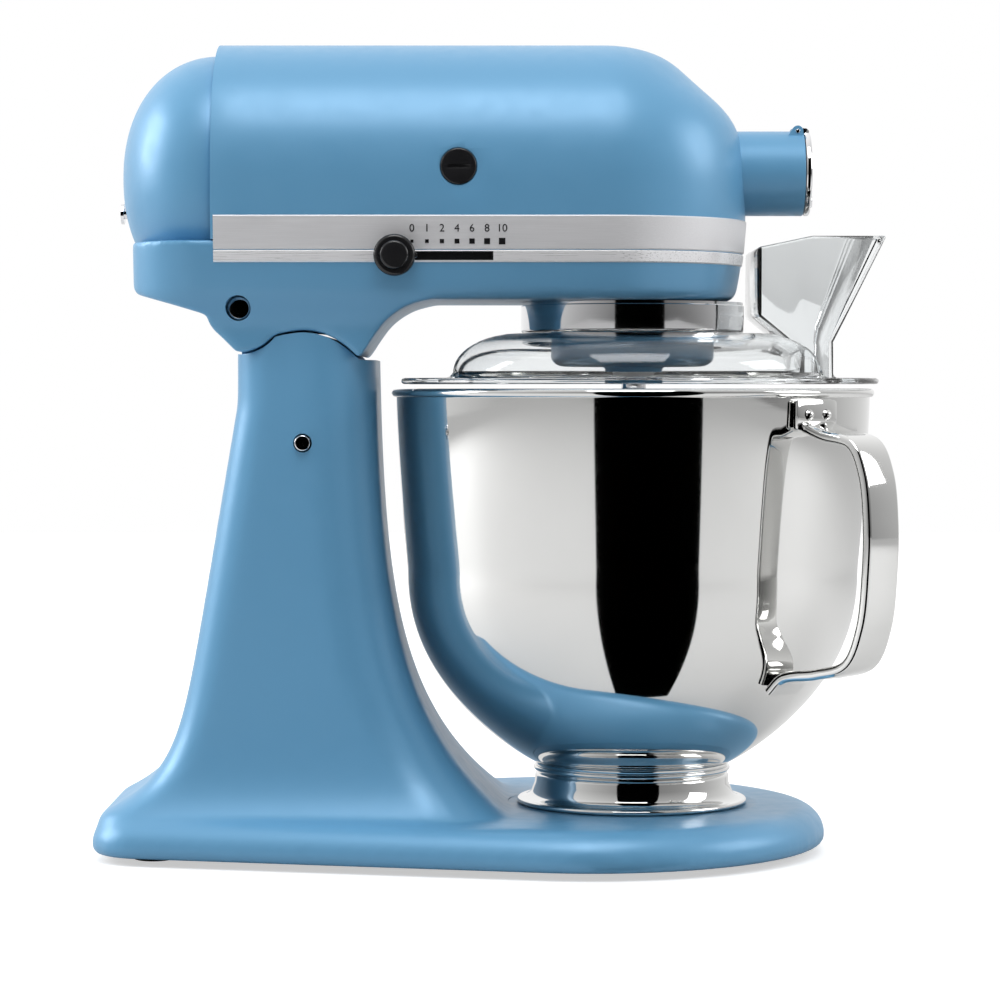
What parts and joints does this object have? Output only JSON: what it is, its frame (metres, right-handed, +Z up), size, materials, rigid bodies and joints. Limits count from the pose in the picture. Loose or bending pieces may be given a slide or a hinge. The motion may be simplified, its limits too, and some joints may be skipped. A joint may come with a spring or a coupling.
{
  "type": "stand mixer",
  "caption": "Tilt-head kitchen stand mixer with twist-lock steel bowl, clear pouring shield and chute, planetary beater drive and front attachment hub.",
  "frame": {"origin": "middle of the footprint box, on the surface that the feet stand on", "axes": "+Z up, +X towards the front of the head (hub side), -Y towards the side with the speed control"},
  "size_m": [0.3438, 0.2188, 0.354],
  "materials": {
    "paint": "satin enamel",
    "polished_steel": "mirror polished",
    "brushed_trim": "fine brushed",
    "cast_aluminium": "burnished cast",
    "chrome": "polished",
    "steel": "machined",
    "brass": "machined",
    "copper": "lacquered winding",
    "black_plastic": "gloss",
    "rubber": "matte",
    "clear_plastic": "clear"
  },
  "bodies": {
    "base": {"pedestal_base": "paint", "pedestal_column": "paint", "rubber_foot_1": "rubber", "rubber_foot_2": "rubber", "rubber_foot_3": "rubber", "rubber_foot_4": "rubber", "rubber_foot_5": "rubber", "bowl_clamp_plate": "brushed_trim", "clamp_screw_1": "steel", "clamp_screw_2": "steel", "clamp_screw_3": "steel", "hinge_pin": "chrome"},
    "lock": {"lock_shaft": "chrome", "lock_lever": "black_plastic"},
    "bowl": {"bowl": "polished_steel", "bowl_foot": "polished_steel", "bowl_handle": "polished_steel", "handle_rivet_1": "polished_steel", "handle_rivet_2": "polished_steel"},
    "head": {"head_upper_housing": "paint", "head_lower_housing": "paint", "rear_cover": "paint", "rear_cover_screw": "chrome", "trim_band": "brushed_trim", "trim_strip": "chrome", "drip_ring": "chrome", "ring_gear": "steel", "motor_field": "copper", "worm_bearing_bracket": "cast_aluminium", "hub_bearing": "brass", "center_bearing": "brass", "brush_holder_left": "brass", "brush_holder_right": "brass", "brush_cap_left": "black_plastic", "brush_cap_right": "black_plastic", "hub_cover_pin": "chrome"},
    "rotor": {"motor_shaft": "steel", "worm": "steel", "armature": "copper", "commutator": "copper", "motor_fan": "cast_aluminium"},
    "countershaft": {"worm_wheel": "brass", "wheel_shaft": "steel", "drive_pinion": "steel"},
    "planetary": {"center_gear": "steel", "center_shaft": "steel", "center_mitre_gear": "steel", "planetary_carrier": "paint"},
    "hub_drive": {"hub_mitre_gear": "steel", "hub_drive_shaft": "steel"},
    "agitator": {"agitator_shaft": "chrome", "planet_pinion": "steel", "flat_beater": "cast_aluminium"},
    "hub_cover": {"hub_cover": "chrome"},
    "attachment_knob": {"attachment_knob": "black_plastic"},
    "speed_control": {"speed_knob": "black_plastic", "speed_lever": "steel"},
    "shield": {"pouring_shield": "clear_plastic", "pouring_chute": "clear_plastic"}
  },
  "joints": [
    {"name": "head_tilt", "type": "hinge", "parent": "base", "child": "head", "pos_m": [-0.10696, 0.00093, 0.2376], "axis": [0, -1, 0], "range_deg": [0, 60]},
    {"name": "lock_turn", "type": "hinge", "parent": "base", "child": "lock", "pos_m": [-0.07996, 0.00093, 0.1801], "axis": [0, 1, 0], "range_deg": [0, 40]},
    {"name": "bowl_twist", "type": "hinge", "parent": "base", "child": "bowl", "pos_m": [0.06294, 0.00093, 0.0199], "axis": [0, 0, 1], "range_deg": [0, 30]},
    {"name": "speed_slide", "type": "slide", "parent": "head", "child": "speed_control", "axis": [1, 0, 0], "range_m": [0, 0.038]},
    {"name": "hub_cover_flip", "type": "hinge", "parent": "head", "child": "hub_cover", "pos_m": [0.13504, 0.00093, 0.3162], "axis": [0, -1, 0], "range_deg": [0, 100]},
    {"name": "attachment_knob_turn", "type": "hinge", "parent": "head", "child": "attachment_knob", "pos_m": [0.12594, 0.00093, 0.2981], "axis": [0, 1, 0], "range_deg": [0, 360]},
    {"name": "planetary_turn", "type": "hinge", "parent": "head", "child": "planetary", "pos_m": [0.06294, 0.00093, 0.2414], "axis": [0, 0, 1], "continuous": true},
    {"name": "agitator_turn", "type": "hinge", "parent": "planetary", "child": "agitator", "pos_m": [0.06294, -0.01457, 0.2294], "axis": [0, 0, 1], "continuous": true},
    {"name": "countershaft_turn", "type": "hinge", "parent": "head", "child": "countershaft", "pos_m": [0.02118, 0.02843, 0.2981], "axis": [0, 0, 1], "continuous": true},
    {"name": "rotor_turn", "type": "hinge", "parent": "head", "child": "rotor", "pos_m": [-0.05706, 0.00093, 0.2981], "axis": [1, 0, 0], "continuous": true},
    {"name": "hub_drive_turn", "type": "hinge", "parent": "head", "child": "hub_drive", "pos_m": [0.10294, 0.00093, 0.2981], "axis": [1, 0, 0], "continuous": true},
    {"name": "shield_slide", "type": "slide", "parent": "head", "child": "shield", "axis": [1, 0, 0], "range_m": [0, 0.12]}
  ],
  "couplings": [
    {"joint": "agitator_turn", "follows": "planetary_turn", "ratio": -2.6667},
    {"joint": "countershaft_turn", "follows": "planetary_turn", "ratio": -3.1667},
    {"joint": "rotor_turn", "follows": "planetary_turn", "ratio": 88.667},
    {"joint": "hub_drive_turn", "follows": "planetary_turn", "ratio": 1}
  ]
}
